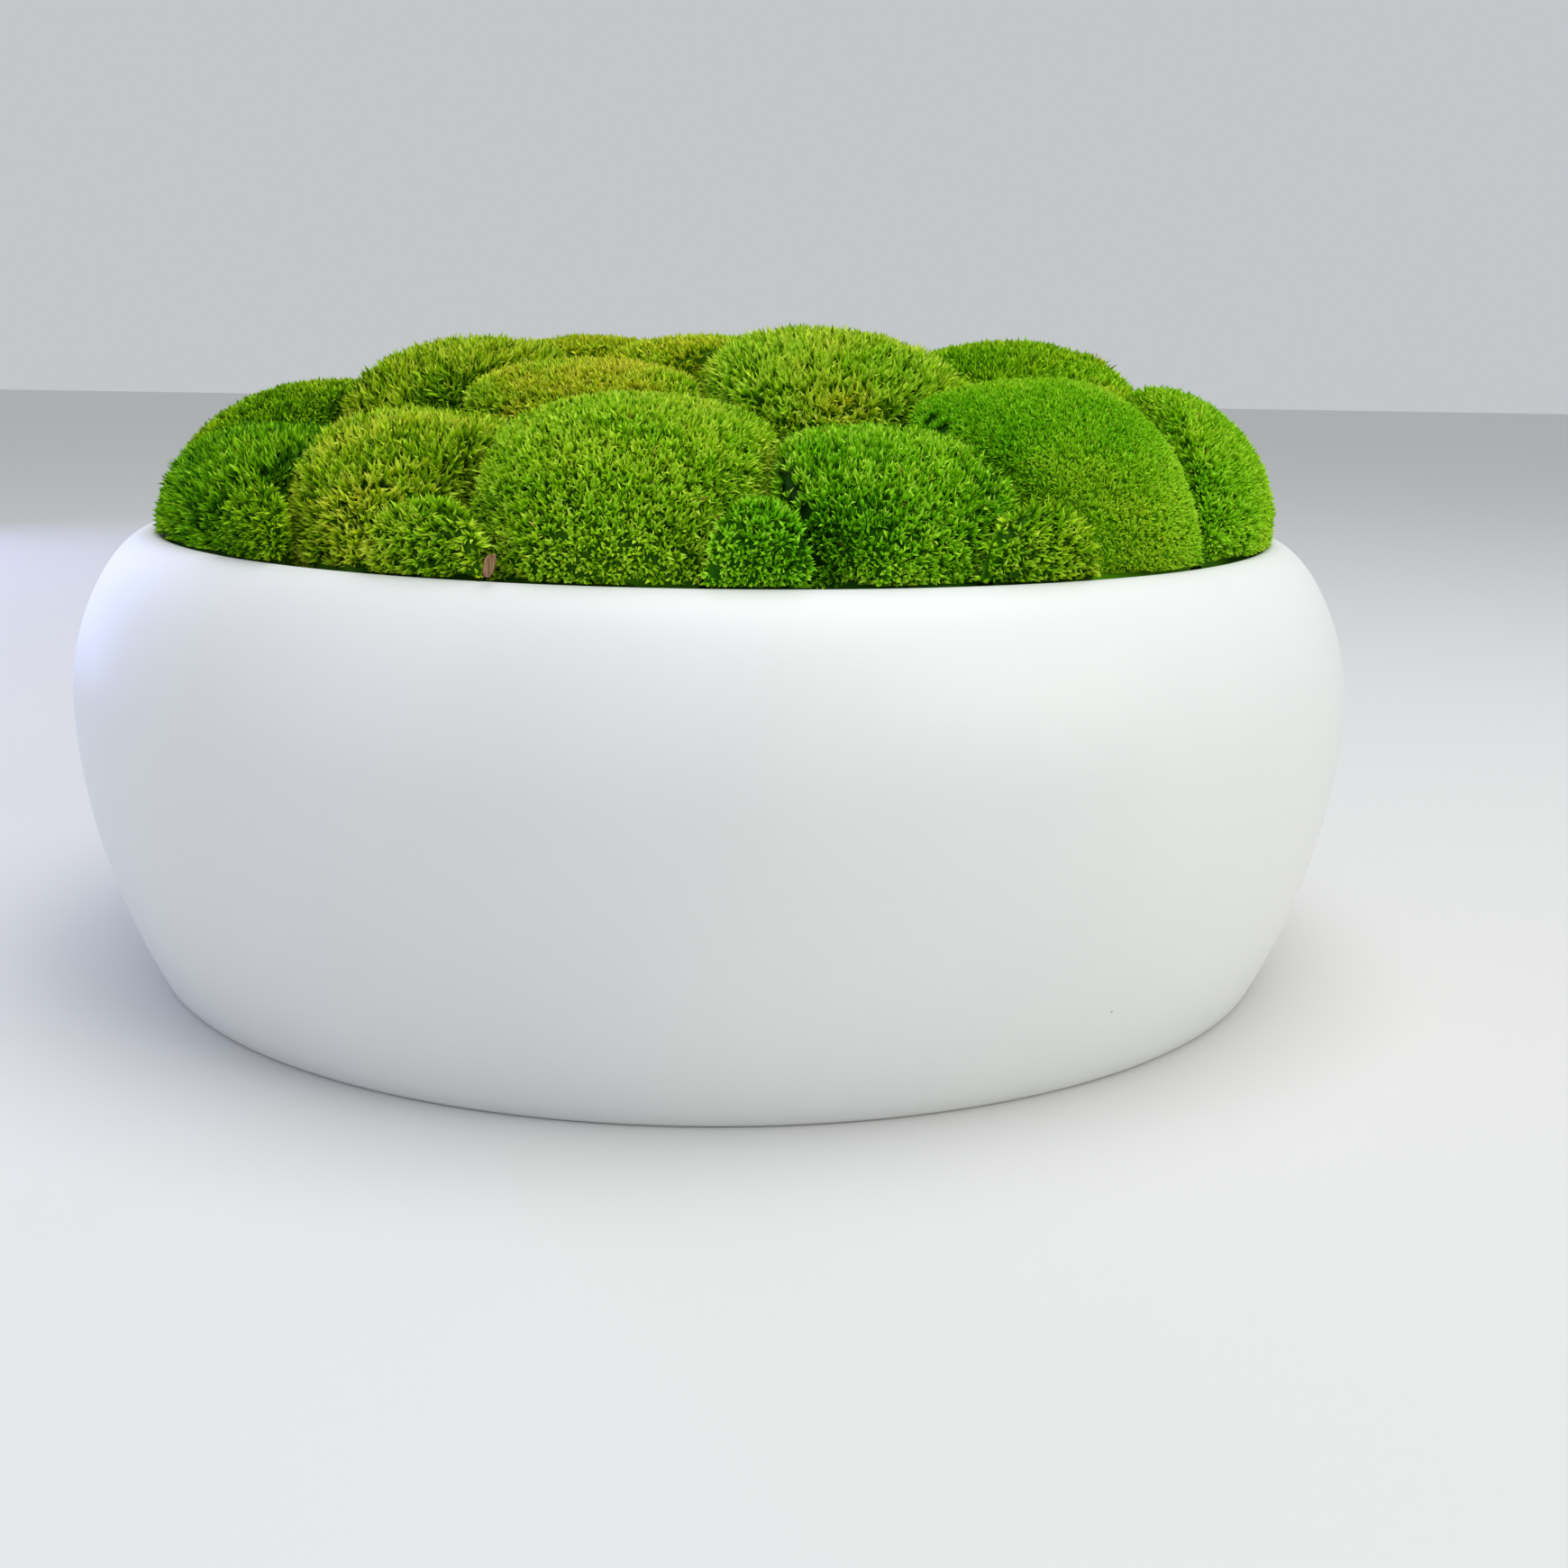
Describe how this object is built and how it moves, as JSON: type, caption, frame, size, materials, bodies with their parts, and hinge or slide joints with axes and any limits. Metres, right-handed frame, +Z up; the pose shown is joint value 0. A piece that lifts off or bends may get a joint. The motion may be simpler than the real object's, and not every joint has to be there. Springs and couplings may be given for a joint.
{
  "type": "moss clump in a bowl",
  "caption": "Mound of cushion moss in a wide, low, round bowl with a rolled-in lip and a flat foot.",
  "frame": {"origin": "middle of the bowl's foot, on the surface that it stands on", "axes": "+Z up, -Y the side that the picture shows, +X to its right"},
  "size_m": [0.3652, 0.3652, 0.1805],
  "materials": {
    "bowl": "satin",
    "fill": "matte",
    "moss_green": "matte",
    "moss_olive": "matte",
    "bark": "matte"
  },
  "bodies": {
    "root": {"bowl": "bowl", "fill": "fill", "moss_far_left": "moss_green", "moss_front_left": "moss_green", "moss_front_left_dark": "moss_green", "moss_olive_left": "moss_olive", "moss_front_long_leaved": "moss_green", "moss_front_big": "moss_green", "moss_front_lobe": "moss_green", "moss_front_right": "moss_green", "moss_front_right_yellow": "moss_green", "moss_velvet_right": "moss_green", "moss_far_right": "moss_green", "moss_right_back": "moss_green", "moss_back_left": "moss_green", "moss_olive_middle": "moss_olive", "moss_back_middle_left": "moss_olive", "moss_back_middle": "moss_olive", "moss_top": "moss_green", "moss_dark_behind_top": "moss_green", "moss_back_right": "moss_green", "moss_rear_far_left": "moss_green", "moss_rear_left": "moss_green", "moss_rear_middle": "moss_green", "moss_rear_inner": "moss_green", "moss_rear_right": "moss_green", "moss_rear_far_right": "moss_green", "bark_chip": "bark"}
  },
  "joints": []
}
